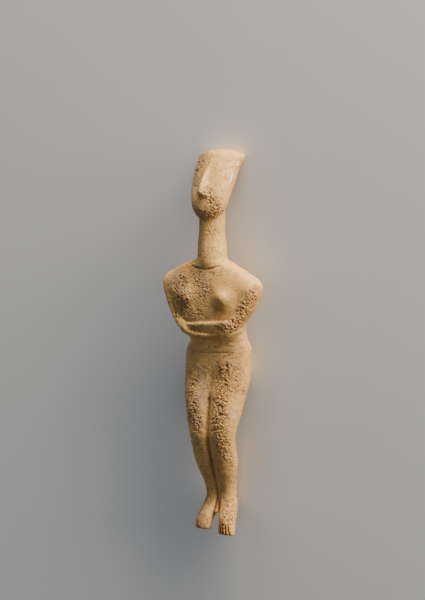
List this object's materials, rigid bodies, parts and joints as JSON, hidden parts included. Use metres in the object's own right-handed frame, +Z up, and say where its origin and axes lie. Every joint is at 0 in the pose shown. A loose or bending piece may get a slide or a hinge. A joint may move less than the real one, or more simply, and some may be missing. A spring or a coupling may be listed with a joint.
{
  "type": "cycladic figurine",
  "caption": "Folded-arm figurine carved in one piece of pitted marble, with a tilted shield-shaped face, wedge nose, slim neck and pointed feet, lying on its back.",
  "frame": {"origin": "on the ground, at the middle of the footprint of the lying figure", "axes": "+Y from the toes to the crown, +X to the figure's left side, +Z up, from its back to its front"},
  "size_m": [0.1821, 0.618, 0.0723],
  "materials": {
    "marble": "weathered, matt to faintly satin, cream to honey with brown pitted crust"
  },
  "bodies": {
    "root": {"figurine": "marble"}
  },
  "joints": []
}
